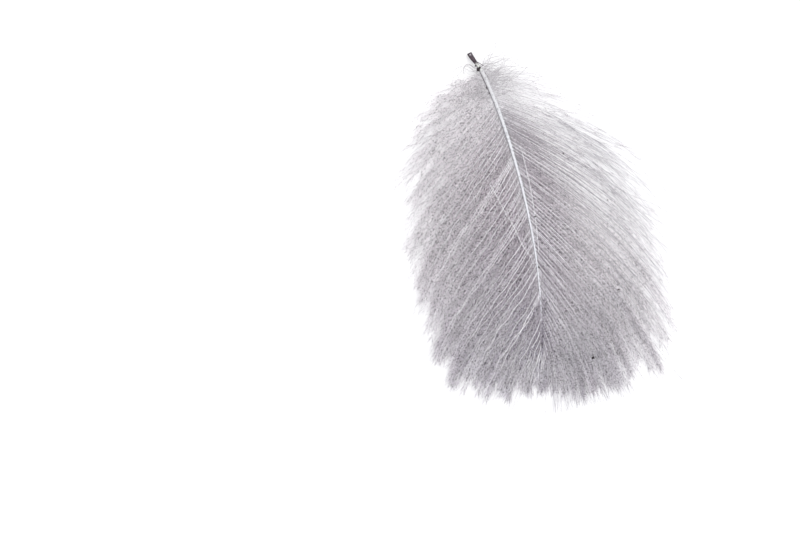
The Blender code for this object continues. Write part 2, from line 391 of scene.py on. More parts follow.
@dataclass
class Strands:
    """Threads of one kind: centre lines, radii, tones, and their places on the vane."""

    points: np.ndarray
    radii: np.ndarray
    tones: np.ndarray
    vane_places: np.ndarray

    @property
    def along(self):
        return np.linspace(0, 1, self.points.shape[1])


def smooth_step(share):
    share = np.clip(share, 0.0, 1.0)
    return share * share * (3 - 2 * share)


def blend(start, end, share):
    return start + (end - start) * share


def normalised(vectors):
    lengths = np.linalg.norm(vectors, axis=-1, keepdims=True)
    return vectors / np.maximum(lengths, 1e-9)


def plan_direction(heading):
    """Level unit vector at a plan angle from -Y towards +X."""
    return np.stack((np.sin(heading), -np.cos(heading), np.zeros_like(heading)), axis=-1)


def plan_across(heading):
    """Level unit vector to the right of a plan heading."""
    return np.stack((np.cos(heading), np.sin(heading), np.zeros_like(heading)), axis=-1)


# Lines of the shaft and of the locks


def shaft_heading(place):
    return SHAFT_TURN * (0.5 - place)


def shaft_centre(place):
    """Centre of the shaft at a share of its length from the quill's tip."""
    arc_radius = SHAFT_LENGTH / SHAFT_TURN
    heading = shaft_heading(place)
    x = CHORD_MIDDLE_X + arc_radius * (np.cos(heading) - math.cos(SHAFT_TURN / 2))
    y = CHORD_MIDDLE_Y + arc_radius * np.sin(heading)
    z = SHAFT_END_HEIGHT + SHAFT_BOW * 4 * place * (1 - place)
    past = np.maximum(place - NECK_BEND_PLACE, 0) / NECK_BEND_FADE
    bend = NECK_BEND * smooth_step(place / NECK_BEND_PLACE) * np.exp(-(past**2))
    return np.stack((x, y, z), axis=-1) + plan_across(heading) * bend[..., None]


def shaft_radius(place):
    """A quill that narrows to a neck, then a rachis that tapers to a hair."""
    past_neck = place - QUILL_NECK_PLACE
    quill = blend(QUILL_RADIUS, QUILL_NECK_RADIUS, smooth_step(place / QUILL_NECK_PLACE))
    tapered = blend(RACHIS_RADIUS, SHAFT_END_RADIUS, past_neck / (1 - QUILL_NECK_PLACE))
    swell = smooth_step(past_neck / (VANE_START - QUILL_NECK_PLACE))
    return np.where(past_neck < 0, quill, blend(QUILL_NECK_RADIUS, tapered, swell))


def shaft_point(place, offset, height=0.0):
    """Point at a place on the shaft, offset to its right and raised over its centre."""
    across = plan_across(shaft_heading(place))
    return shaft_centre(place) + across * np.asarray(offset)[..., None] + UP * height


def vane_share(place):
    """Share of the vane that lies before a place on the shaft."""
    return (place - VANE_START) / (VANE_END - VANE_START)


def barb_angle(side, vane_place, along):
    root = (
        MID_ANGLE[side]
        + BASE_SPREAD[side] * np.exp(-vane_place / BASE_SPREAD_FADE)
        - TIP_CLOSING[side] * vane_place**TIP_CLOSING_POWER
    )
    return root + FLARE[side] * np.sin(math.pi * along) - SWEEP[side] * along**2


def barb_length(side, vane_place):
    base = 1 - np.exp(-(vane_place + BASE_LENGTH_OFFSET) / BASE_LENGTH_FADE)
    tip = 1 - TIP_SHORTENING[side] * vane_place ** TIP_SHORTENING_POWER[side]
    return LONGEST_BARB[side] * base * tip


def lock_edges():
    """Start and end of every lock along the shaft, as two arrays of places."""
    shares = (np.arange(LOCKS_PER_SIDE + 1) / LOCKS_PER_SIDE) ** LOCK_CROWDING
    edges = blend(VANE_START, VANE_END, shares)
    return edges[:-1], blend(edges[1:], edges[:-1], ROOT_GAP_SHARE)


def lock_middles():
    """Places of the locks' middles, as shares of the vane."""
    near, far = lock_edges()
    return vane_share((near + far) / 2)


def lock_lengths(side):
    """Length of every lock on a side. The solid's locks are drawn left and right in turn."""
    chance = random.Random(LOCK_SEED)
    draws = np.array([chance.uniform(-1, 1) for _ in range(2 * LOCKS_PER_SIDE)])
    scatter = draws[int(side == RIGHT) :: 2]
    return barb_length(side, lock_middles()) * (1 + LENGTH_SCATTER * scatter)


def lock_floor(root_floor, along, reach, raised):
    """Height of a lock's underside at a share of its length."""
    rise = (ARCH_RISE + raised * RAISED_LOCK_RISE) * reach
    share = np.minimum(along / LANDING_PLACE, 1.0)
    arch = rise * np.sin(math.pi * share) ** 2 * (1 - raised * share)
    landed = root_floor * (1 - smooth_step(share)) + arch
    return landed + raised * RAISED_TIP_HEIGHT * reach * along**RAISED_TIP_POWER


def lock_thickness(root_thickness, along, reach):
    fullest = blend(TIP_THICKNESS, LOCK_THICKNESS, reach)
    full = blend(fullest, TIP_THICKNESS, along**2)
    return blend(root_thickness, full, smooth_step(along / THICKENING_SHARE))


# Threads


def cut_to_box(points, margin):
    """Threads shortened where they would reach past the solid's box by more than a margin."""
    low, high = (np.array(corner)[:2] / MM for corner in cad_box)
    inside = (points[:, :, :2] > low - margin) & (points[:, :, :2] < high + margin)
    kept = np.cumprod(inside.all(axis=2), axis=1).sum(axis=1)
    rings = points.shape[1]
    along = np.linspace(0, 1, rings)
    cut = points.copy()
    for index in np.flatnonzero(kept < rings):
        spots = along * max(kept[index] - 1, 2) / (rings - 1)
        for axis in range(3):
            cut[index, :, axis] = np.interp(spots, along, points[index, :, axis])
    return cut


def kept_low(heights):
    """Heights that don't stand over the top of the solid's box."""
    return np.minimum(heights, cad_box[1][2] / MM + TOP_MARGIN)


def level_paths(starts, headings, lengths):
    """Level threads that take even steps along their headings."""
    steps = plan_direction(headings) * (lengths / headings.shape[1])[:, None, None]
    return np.cumsum(np.concatenate((starts[:, None], steps), axis=1), axis=1)


def level_waves(headings, lengths, along, wave_height, dice):
    """Sideways waves of a thread, which grow from nothing at its root."""
    shape = (len(lengths), 1)
    sway = 0
    for wave_length in WAVE_LENGTHS:
        phase = dice.uniform(0, math.tau, shape)
        height = wave_height * dice.uniform(*WAVE_HEIGHT_RANGE, shape)
        wave = np.sin(math.tau * (lengths[:, None] * along / wave_length) + phase)
        sway = sway + height * wave * smooth_step(along / WAVE_GROWTH)
    return plan_across(headings) * sway[:, :, None]


def grown_barbs(side, places, lengths, locks, turns, dice):
    """Barbs that leave the shaft at given places and follow their locks."""
    count = len(places)
    along = np.linspace(0, 1, BARB_RINGS)
    middles = (along[1:] + along[:-1]) / 2
    vane_places = vane_share(places)
    angles = barb_angle(side, vane_places[:, None], middles) * turns[:, None]
    looseness = np.exp(-np.maximum(vane_places, 0) / LOOSE_BASE_FADE)
    scatter = BARB_TURN_SCATTER[side] + LOOSE_BASE_TURN * looseness
    angles += (dice.normal(0, 1, count) * scatter)[:, None] * middles**TURN_POWER
    headings = shaft_heading(places)[:, None] + side * angles

    radius = shaft_radius(places)
    points = level_paths(shaft_point(places, side * radius * ROOT_INSET), headings, lengths)
    ring_headings = np.concatenate((headings[:, :1], headings), axis=1)
    waves = level_waves(ring_headings, lengths, along, WAVE_HEIGHTS[side], dice)
    points = cut_to_box(points + waves * (1 + looseness)[:, None, None], BARB_MARGIN)

    tones = prominence(side, count, dice)
    lift = dice.exponential(TIP_LIFT, count).clip(0, MOST_LIFTS * TIP_LIFT)[:, None]
    raised = ((locks + (side == RIGHT)) % RAISED_LOCK_EVERY == 0).astype(float)[:, None]
    reach = (lengths / LONGEST_BARB[side])[:, None]
    half_height = (radius * math.sin(SHAFT_FLAT_ANGLE))[:, None]
    floor = lock_floor(points[:, :1, 2] - half_height, along, reach, raised)
    thickness = lock_thickness(2 * half_height, along, reach)
    layer = blend(*LAYERS[side], tones)[:, None]
    layer = blend(ROOT_LAYER, layer, smooth_step(along / LAYERING_SHARE))
    heights = floor + thickness * layer + lift * along**3

    radii = np.interp(along, BARB_RADIUS_PLACES, BARB_RADII[side])
    radii = radii * dice.uniform(*BARB_RADIUS_RANGE, (count, 1))
    points[:, :, 2] = kept_low(np.maximum(heights, radii + LOWEST_POINT))
    fineness = blend(BASE_FINENESS, 1, smooth_step(vane_places / BASE_FINENESS_PLACE))
    radii *= (blend(*TONE_RADIUS_RANGE, tones) * fineness)[:, None]
    return Strands(points, radii, tones, vane_places)


def prominence(side, count, dice):
    """How far each barb stands out from its neighbours: every second or third far more. Plain
    barbs lie lower and are coloured darker, partly as painted shade.
    """
    chosen = np.arange(count) % PROMINENT_EVERY[side] == 0
    chosen ^= dice.uniform(0, 1, count) < ODD_PROMINENCE
    scatter = dice.uniform(-TONE_SCATTER, TONE_SCATTER, count)
    return np.clip(np.where(chosen, PROMINENT_TONE, PLAIN_TONE) + scatter, 0, 1)


def joined(strands):
    parts = zip(*((s.points, s.radii, s.tones, s.vane_places) for s in strands))
    return Strands(*(np.concatenate(part) for part in parts))


def barbs_per_lock(side):
    """How many barbs each lock holds: more of them near the quill, where they are finer."""
    share = smooth_step(lock_middles() / FEWEST_BARBS_PLACE[side])
    return np.round(blend(MOST_BARBS[side], FEWEST_BARBS, share)).astype(int)


def fringe_shares(side, places):
    """Shares of their length that barbs keep: uneven near the quill, for a thin fringe."""
    near_quill = 1 - smooth_step((vane_share(places) - FRINGE_START) / FRINGE_SPAN)
    spread = (np.arange(len(places)) * FRINGE_STEP % 1) ** FRINGE_POWER
    return 1 - FRINGE_SHORTENING[side] * near_quill * spread


def barbs_of(side, dice):
    """All the barbs on one side of the shaft, those past its end included."""
    near, far = lock_edges()
    counts = barbs_per_lock(side)
    shares = np.concatenate([(np.arange(count) + 0.5) / count for count in counts])
    locks = np.repeat(np.arange(LOCKS_PER_SIDE), counts)
    places = blend(near[locks], far[locks], shares)
    scatter = dice.normal(0, BARB_LENGTH_SCATTER, len(locks)).clip(*BARB_LENGTH_LIMITS)
    lengths = lock_lengths(side)[locks] * (1 + scatter) * fringe_shares(side, places)
    barbs = grown_barbs(side, places, lengths, locks, np.ones(len(places)), dice)

    end_places = np.linspace(VANE_END, 1.0, END_BARBS)
    end_lengths = END_LOCK_LENGTH * dice.uniform(*END_LENGTH_RANGE, END_BARBS)
    end_locks = np.full(END_BARBS, LOCKS_PER_SIDE - 1)
    end_turns = np.linspace(*END_TURNS, END_BARBS)
    ends = grown_barbs(side, end_places, end_lengths, end_locks, end_turns, dice)
    return joined((barbs, ends))


class VaneSurface:
    """Height of the barbs near a point in plan, for what lies on them."""

    NEIGHBOURS = 5
    REACH = 1.0

    def __init__(self, sides):
        points = np.concatenate([barbs.points.reshape(-1, 3) for barbs in sides.values()])
        self.heights = points[:, 2]
        self.tree = kdtree.KDTree(len(points))
        for index, (x, y, _) in enumerate(points):
            self.tree.insert((x, y, 0), index)
        self.tree.balance()

    def height(self, x, y):
        found = self.tree.find_n((x, y, 0), self.NEIGHBOURS)
        return float(np.mean([self.heights[index] for _, index, _ in found]))

    def top(self, x, y):
        """Height of the highest barb close to a point."""
        near = self.tree.find_range((x, y, 0), self.REACH)
        return max(self.heights[index] for _, index, _ in near)


def wandering(starts, headings, lengths, bends, curls, rings, dice):
    """Level threads that bend evenly and curl at random from where they start."""
    along = np.linspace(0, 1, rings)
    middles = (along[1:] + along[:-1]) / 2
    turns = dice.uniform(*CURL_TURNS, (len(starts), 1))
    phase = dice.uniform(0, math.tau, (len(starts), 1))
    curl = curls[:, None] * (np.sin(math.tau * turns * middles + phase) - np.sin(phase))
    turned = headings[:, None] + bends[:, None] * middles + curl
    return level_paths(starts, turned, lengths)


def settled(points, measure, passes=6):
    """Measured heights under threads, evened out so that they don't follow every barb."""
    heights = np.array([measure(x, y) for x, y, _ in points.reshape(-1, 3)])
    heights = heights.reshape(points.shape[:-1])
    for _ in range(passes):
        heights[..., 1:-1] = (heights[..., :-2] + heights[..., 2:]) / 2
    return heights


def taper(count, rings, radii, dice):
    """Radii of threads that run out to a point."""
    tapered = blend(*radii, np.linspace(0, 1, rings) ** TAPER_POWER)
    return tapered * dice.uniform(*THREAD_RADIUS_RANGE, (count, 1))


def stray_barbs(side, kind, barbs, surface, dice):
    count, start_range, length_range, turn, bend, radii = STRAYS[side][kind]
    owners = dice.integers(FIRST_STRAY_OWNER[side], len(barbs.points) - END_BARBS, count)
    starts_at = (BARB_RINGS * dice.uniform(*start_range, count)).astype(int)
    starts = barbs.points[owners, starts_at]
    ahead = barbs.points[owners, starts_at + 1] - starts
    turns = np.radians(dice.normal(*turn, count))
    headings = np.arctan2(ahead[:, 0], -ahead[:, 1]) + side * turns
    lengths = dice.uniform(*length_range, count)
    bends = side * dice.normal(*bend, count)
    curls = dice.uniform(*STRAY_CURLS, count)
    points = wandering(starts, headings, lengths, bends, curls, STRAY_RINGS, dice)
    points = cut_to_box(points, STRAY_MARGIN)
    risen = smooth_step(np.linspace(0, 1, STRAY_RINGS) / STRAY_RISE_SHARE)
    points[:, :, 2] = kept_low(settled(points, surface.height) + STRAY_CLEARANCE * risen)
    thickness = taper(count, STRAY_RINGS, radii, dice)
    return Strands(points, thickness, dice.uniform(0, 1, count), np.ones(count))


def loose_threads(surface):
    """Pale threads that lie over the vane beside the shaft and across its left half."""
    lines = []
    for marks in LOOSE_THREADS.values():
        corners = [shaft_point(distance / SHAFT_LENGTH, offset) for distance, offset in marks]
        line = smooth_curve(corners, STRAY_RINGS)
        line[:, 2] = kept_low(settled(line, surface.top) + LOOSE_THREAD_CLEARANCE)
        lines.append(line)
    radii = np.tile(np.linspace(*LOOSE_THREAD_RADII, STRAY_RINGS), (len(lines), 1))
    return Strands(np.array(lines), radii, np.ones(len(lines)), np.zeros(len(lines)))


def shade_strips(barbs):
    """Threads just under the barbs, which paint shade as a dark strip along both sides of each."""
    fullness = smooth_step(barbs.vane_places / BASE_FINENESS_PLACE)[:, None]
    radii = LEAST_SHADE_STRIP_RADIUS + np.interp(barbs.along, SHADE_STRIP_PLACES, SHADE_STRIP_RADII) * fullness
    points = barbs.points - UP * SHADE_STRIP_DROP
    points[:, :, 2] = np.maximum(points[:, :, 2], radii * SHADE_STRIP_FLATNESS + LOWEST_POINT)
    return Strands(points, radii, barbs.tones, barbs.vane_places)


def base_down(dice):
    """Curled threads that stand out on both sides where the vane begins."""
    count = DOWN_THREADS
    places = dice.uniform(*DOWN_PLACES, count)
    side = np.where(dice.uniform(0, 1, count) < 0.5, LEFT, RIGHT)
    starts = shaft_point(places, side * shaft_radius(places) * DOWN_INSET)
    headings = shaft_heading(places) + side * dice.uniform(*DOWN_ANGLES, count)
    lengths = dice.uniform(*DOWN_LENGTHS, count)
    bends = side * dice.normal(*DOWN_BEND, count)
    curls = dice.uniform(*DOWN_CURLS, count)
    points = wandering(starts, headings, lengths, bends, curls, DOWN_RINGS, dice)
    rise = dice.uniform(*DOWN_RISE, (count, 1)) * smooth_step(np.linspace(0, 1, DOWN_RINGS))
    points[:, :, 2] = np.maximum(points[:, :, 2] + rise, LOWEST_DOWN)
    points = cut_to_box(points, STRAY_MARGIN)
    radii = taper(count, DOWN_RINGS, DOWN_RADII, dice)
    return Strands(points, radii, dice.uniform(0, 1, count), np.zeros(count))


def smooth_curve(corners, rings):
    """Points on a Catmull-Rom curve through the corners."""
    corners = np.array(corners)
    first, last = 2 * corners[:1] - corners[1:2], 2 * corners[-1:] - corners[-2:-1]
    padded = np.concatenate((first, corners, last))
    spots = np.linspace(0, len(corners) - 1, rings)
    index = np.minimum(spots.astype(int), len(corners) - 2)
    t = (spots - index)[:, None]
    a, b, c, d = (padded[index + shift] for shift in range(4))
    return 0.5 * (
        2 * b + (c - a) * t + (2 * a - 5 * b + 4 * c - d) * t**2 + (3 * b - a - 3 * c + d) * t**3
    )


def torn_sheath():
    """Threads of torn sheath round the quill's neck."""
    lines, radii, tones = [], [], []
    for ends, tone, *marks in TORN_THREADS.values():
        corners = [shaft_point(mark[0] / SHAFT_LENGTH, *mark[1:]) for mark in marks]
        lines.append(smooth_curve(corners, TORN_RINGS))
        radii.append(np.linspace(*ends, TORN_RINGS))
        tones.append(tone)
    return Strands(np.array(lines), np.array(radii), np.array(tones), np.zeros(len(lines)))


# Meshes


def add_object(name, data):
    made = bpy.data.objects.new(name, data)
    bpy.context.scene.collection.objects.link(made)
    return made


def set_all(items, key, values, kind=np.float32):
    items.foreach_set(key, values.astype(kind).ravel())


def new_piece(name, corners, groups, uvs, attributes, material, smooth=True):
    """An object from corner points in millimetres, face groups and their UVs."""
    data = bpy.data.meshes.new(name)
    loops = np.concatenate([group.ravel() for group in groups])
    sizes = np.concatenate([np.full(len(group), group.shape[1]) for group in groups])
    data.vertices.add(corners.size // 3)
    set_all(data.vertices, "co", corners * MM)
    data.loops.add(len(loops))
    set_all(data.loops, "vertex_index", loops, np.int32)
    data.polygons.add(len(sizes))
    set_all(data.polygons, "loop_start", np.cumsum(sizes) - sizes, np.int32)
    data.update(calc_edges=True)
    layer = data.uv_layers.new(name="OFBake")
    set_all(layer.uv, "vector", np.concatenate([uv.reshape(-1, 2) for uv in uvs]))
    for key, values in attributes.items():
        set_all(data.attributes.new(key, "FLOAT", "POINT").data, "value", values)
    data.polygons.foreach_set("use_smooth", np.full(len(sizes), smooth))
    data.validate()
    data.materials.append(material)
    piece = add_object(name, data)
    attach(piece, BODY)
    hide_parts(NODE)


def swept_piece(name, lines, radii, sideways, upward, sides, attributes, material):
    """Closed tubes round centre lines, each in its own row of the UV square."""
    count, rings = radii.shape
    angles = np.arange(sides) * math.tau / sides
    cosines, sines = np.cos(angles), np.sin(angles)
    spokes = sideways[:, :, None] * cosines[:, None] + upward[:, :, None] * sines[:, None]
    corners = lines[:, :, None] + spokes * radii[:, :, None, None]

    thread, ring, side = np.meshgrid(
        np.arange(count), np.arange(rings - 1), np.arange(sides), indexing="ij"
    )
    after = (side + 1) % sides
    base = (thread * rings + ring) * sides
    walls = np.stack((base + side, base + sides + side, base + sides + after, base + after), -1)
    v_low = (thread + UV_MARGIN + side / sides * (1 - 2 * UV_MARGIN)) / count
    v_high = v_low + (1 - 2 * UV_MARGIN) / sides / count
    u_low, u_high = ring / rings, (ring + 1) / rings
    wall_uvs = ((u_low, v_low), (u_high, v_low), (u_high, v_high), (u_low, v_high))
    wall_uvs = np.stack([np.stack(corner, -1) for corner in wall_uvs], -2)
    start_caps = (np.arange(count) * rings * sides)[:, None] + np.arange(sides)
    end_caps = start_caps[:, ::-1] + (rings - 1) * sides
    cap_v = (np.arange(count)[:, None] + 0.5 + 0.4 * sines) / count
    cap_u = np.broadcast_to((0.5 + 0.5 * cosines) / rings, cap_v.shape)
    start_uvs = np.stack((cap_u, cap_v), -1)
    end_uvs = start_uvs + np.array(((rings - 1) / rings, 0))
    groups = [walls.reshape(-1, 4), start_caps, end_caps]
    new_piece(name, corners, groups, [wall_uvs, start_uvs, end_uvs], attributes, material)


def tube_piece(name, strands, sides, material, flatness=1.0):
    """Closed tubes round threads, with their attributes."""
    tangents = normalised(np.gradient(strands.points, axis=1))
    sideways = normalised(np.cross(tangents, UP) + NUDGE)
    upward = np.cross(sideways, tangents) * flatness
    count, rings = strands.radii.shape
    attributes = {
        "along": np.repeat(np.tile(strands.along, count), sides),
        "tone": np.repeat(strands.tones, rings * sides),
        "vane": np.repeat(strands.vane_places, rings * sides),
    }
    swept_piece(name, strands.points, strands.radii, sideways, upward, sides, attributes, material)


def shaft_piece(material):
    """The quill and rachis as one tube, with the quill's end hollowed out."""
    quill = np.linspace(0, FINE_RINGS_END, FINE_RINGS)
    rachis = np.linspace(FINE_RINGS_END, 1.0, SHAFT_RINGS - FINE_RINGS + 1)[1:]
    places = np.concatenate(((HOLLOW_DEPTH / SHAFT_LENGTH, 0.0), quill, rachis))
    radii = shaft_radius(places)
    radii[:2] *= HOLLOW_SHARE

    # Painted shade on both flanks of the quill, and past it mostly on the left flank
    leftward = np.cos(np.arange(SHAFT_SIDES) * math.tau / SHAFT_SIDES) * np.ones((len(places), 1))
    lit = (places[:, None] > QUILL_NECK_PLACE) & (leftward < 0)
    flank_shade = np.abs(leftward) * np.where(lit, RIGHT_FLANK_SHADE_SHARE, 1.0)
    attributes = {"along": np.repeat(places, SHAFT_SIDES), "flank_shade": flank_shade}
    left = -plan_across(shaft_heading(places))[None]
    upward = np.broadcast_to(UP, left.shape)
    line = shaft_centre(places)[None]
    swept_piece("shaft", line, radii[None], left, upward, SHAFT_SIDES, attributes, material)


def barbule_density(side, vane_place, along, shift):
    """Share of the full density, at shares of a barb's length."""
    full = blend(BASE_DENSITY[side], 1, smooth_step(vane_place / FULL_DENSITY_PLACE))
    at_end = smooth_step((vane_place - END_DENSITY_PLACE) / END_DENSITY_SPAN)
    full = blend(full, END_DENSITY, at_end)
    start = blend(*FADE_START[side], smooth_step(vane_place / LAST_FADE_PLACE))
    faded = smooth_step((along - start - shift) / FADE_SPAN[side])
    share = smooth_step(vane_place / LEAST_DENSITY_PLACE) ** LEAST_DENSITY_POWER
    least = blend(*LEAST_DENSITY[side], share)
    return full * (1 + DENSITY_GAIN * along) * (1 - (1 - least) * faded)


def paleness(side, vane_places, along):
    start, span, at_quill, at_tip = PALENESS[side]
    strength = blend(at_quill, at_tip, smooth_step(vane_places))
    at_base = BASE_PALENESS * (1 - smooth_step(vane_places / BASE_PALENESS_PLACE))
    return np.maximum(strength * smooth_step((along - start) / span), at_base)


def bunch_places(side, barbs, dice):
    """Owner, hand and place of every bunch of barbules, and the lengths of the barbs."""
    fine = np.linspace(0, 1, DENSITY_STEPS)
    lengths = np.linalg.norm(np.diff(barbs.points, axis=1), axis=-1).sum(axis=1)
    found = []
    for index, vane_place in enumerate(barbs.vane_places):
        density = barbule_density(side, vane_place, fine, dice.normal(0, FADE_SCATTER))
        summed = np.concatenate(((0,), np.cumsum((density[1:] + density[:-1]) / 2)))
        count = int(lengths[index] * summed[-1] / (len(fine) - 1) / BUNCH_SPACING)
        for hand in (-1.0, 1.0):
            spots = (np.arange(count) + dice.uniform(0, 1, count)) / count
            places = np.interp(spots, summed / summed[-1], fine)
            found.append((np.full(count, index), np.full(count, hand), places))
    return *map(np.concatenate, zip(*found)), lengths


def barbule_corners(side, barbs, dice):
    """Corners of every barbule, from root to tip, its place on the vane and attributes."""
    owners, hands, places, lengths = bunch_places(side, barbs, dice)
    bunches = len(owners)
    tilt = dice.uniform(*BUNCH_TILTS[side], bunches)
    angle = dice.normal(0, BUNCH_ANGLE_SCATTER, bunches)
    length = dice.uniform(*BUNCH_LENGTH_RANGE, bunches)
    tuft_tones = dice.uniform(0, 1, bunches // TUFT_BUNCHES + 1)
    tones = np.repeat(tuft_tones, TUFT_BUNCHES)[:bunches]
    tones = blend(tones, barbs.tones[owners], BARB_TONE_SHARE)
    owners, hands, places, tilt, angle, length, tones = (
        np.repeat(values, BARBULES_PER_BUNCH)[:, None]
        for values in (owners, hands, places, tilt, angle, length, tones)
    )
    shape = owners.shape
    vane_places = barbs.vane_places[owners]
    along = places + dice.normal(0, BUNCH_SPREAD, shape) / lengths[owners]
    along = np.clip(along, 0.0, LAST_ROOT_PLACE)
    tilt += dice.normal(0, BARBULE_TILT_SCATTER, shape)
    closed = blend(BARBULE_ROOT_ANGLE, BARBULE_TIP_ANGLE, along**CLOSING_POWER)
    from_base = smooth_step(vane_places / FULL_DENSITY_PLACE)
    angle += closed * blend(BASE_ANGLE_SHARE, 1, from_base)
    angle += dice.normal(0, BARBULE_ANGLE_SCATTER, shape)

    spot = along * (barbs.points.shape[1] - 1)
    ring = spot.astype(int)
    first, second = (barbs.points[owners, ring + shift][:, 0] for shift in (0, 1))
    roots = blend(first, second, spot - ring)
    tangents = normalised(second - first)
    sideways = normalised(np.cross(UP, tangents))
    upward = np.cross(tangents, sideways)
    out = sideways * hands * np.cos(tilt) + upward * np.sin(tilt)
    direction = tangents * np.cos(angle) + out * np.sin(angle)
    backward = out * np.cos(angle) - tangents * np.sin(angle)

    length *= np.interp(along, BARBULE_LENGTH_PLACES, BARBULE_LENGTHS)
    length *= 1 + BASE_LENGTH_GAIN * (1 - from_base)
    length *= dice.uniform(*BARBULE_LENGTH_RANGE, shape)
    bend = dice.normal(BARBULE_BEND, BARBULE_BEND / 2, shape)
    middles = roots + direction * length * BARBULE_MIDDLE + backward * length * bend
    half_width = BARBULE_HALF_WIDTH * blend(1, BARBULE_TIP_WIDTH_SHARE, along)
    half_width *= dice.uniform(*BARBULE_WIDTH_RANGE, shape)
    first_across = normalised(np.cross(direction, UP))
    second_across = np.cross(direction, first_across)
    corners = [roots]
    for around in np.arange(3) * math.tau / 3:
        spoke = first_across * math.cos(around) + second_across * math.sin(around)
        corners.append(middles + spoke * half_width)
    corners.append(roots + direction * length)
    corners = np.stack(corners, axis=1)
    corners[:, :, 2] = kept_low(np.maximum(corners[:, :, 2], LOWEST_POINT))

    outward = np.array((0.0, BARBULE_MIDDLE, BARBULE_MIDDLE, BARBULE_MIDDLE, 1.0))
    reach = length * np.sin(angle) / (BARB_SPACING * (1 + BARB_FANNING * along))
    attributes = {
        "along": along,
        "tone": tones,
        "across": vane_places * STREAK_CELLS - side * hands * reach * outward,
        "run": along * lengths[owners],
        "pale": paleness(side, vane_places, along),
    }
    each_corner = np.ones(len(outward))
    attributes = {key: values * each_corner for key, values in attributes.items()}
    return corners, vane_places[:, 0], attributes


def barbule_pieces(side, barbs, material, dice):
    """One piece for each zone: slivers of six faces, each with its own cell of the UVs."""
    corners, vane_places, attributes = barbule_corners(side, barbs, dice)
    faces = np.array(((2, 1, 0), (3, 2, 0), (1, 3, 0), (1, 2, 4), (2, 3, 4), (3, 1, 4)))
    spots = np.array(((0.08, 0.5), (0.5, 0.1), (0.5, 0.5), (0.5, 0.9), (0.92, 0.5)))
    start = -1.0
    for zone, end in ZONE_ENDS.items():
        chosen = np.flatnonzero((vane_places >= start) & (vane_places < end))
        order = np.arange(len(chosen))
        columns = math.ceil(math.sqrt(len(chosen)))
        cells = np.stack((order % columns, order // columns), -1)
        uvs = ((cells[:, None] + spots) / columns)[:, faces]
        groups = [(order[:, None, None] * len(spots) + faces).reshape(-1, 3)]
        kept = {key: values[chosen] for key, values in attributes.items()}
        name = f"barbules_{SIDE_NAMES[side]}_{zone}"
        new_piece(name, corners[chosen], groups, [uvs], kept, material, smooth=False)
        start = end


def ball_template():
    mesh = bmesh.new()
    bmesh.ops.create_icosphere(mesh, subdivisions=2, radius=1.0)
    corners = np.array([tuple(v.co) for v in mesh.verts])
    faces = np.array([[v.index for v in face.verts] for face in mesh.faces])
    mesh.free()
    return corners, faces


def crumb_piece(name, spots, material, dice):
    """Uneven crumbs, each given by its middle and its size."""
    ball, faces = ball_template()
    corners, groups, uvs, tones = [], [], [], []
    columns = math.ceil(math.sqrt(len(spots)))
    for index, (middle, size) in enumerate(spots):
        stretch = dice.uniform(*CRUMB_STRETCH, 3)
        dents = 1 + CRUMB_ROUGHNESS * dice.uniform(-1, 1, (len(ball), 1))
        corners.append(ball * dents * stretch * size + middle)
        groups.append(faces + index * len(ball))
        cell = np.array((index % columns, index // columns))
        uvs.append(((cell + 0.5 + 0.42 * ball[:, :2]) / columns)[faces])
        tones.append(np.full(len(ball), dice.uniform(0, 1)))
    attributes = {"tone": np.concatenate(tones)}
    new_piece(name, np.concatenate(corners), groups, uvs, attributes, material)


def crumb_spots(surface):
    """Middles and sizes of the crumbs on the shaft and of the specks on the vane."""
    spots = [
        (shaft_point(distance / SHAFT_LENGTH, offset, SHEATH_CRUMB_HEIGHT), size)
        for distance, offset, size in SHEATH_CRUMBS
    ]
    for distance, offset, size in DIRT_SPECKS:
        middle = shaft_point(distance / SHAFT_LENGTH, offset)
        top = surface.top(*middle[:2])
        middle[2] = kept_low(top + SPECK_CLEARANCE + size) - size
        spots.append((middle, size))
    return spots


# Materials


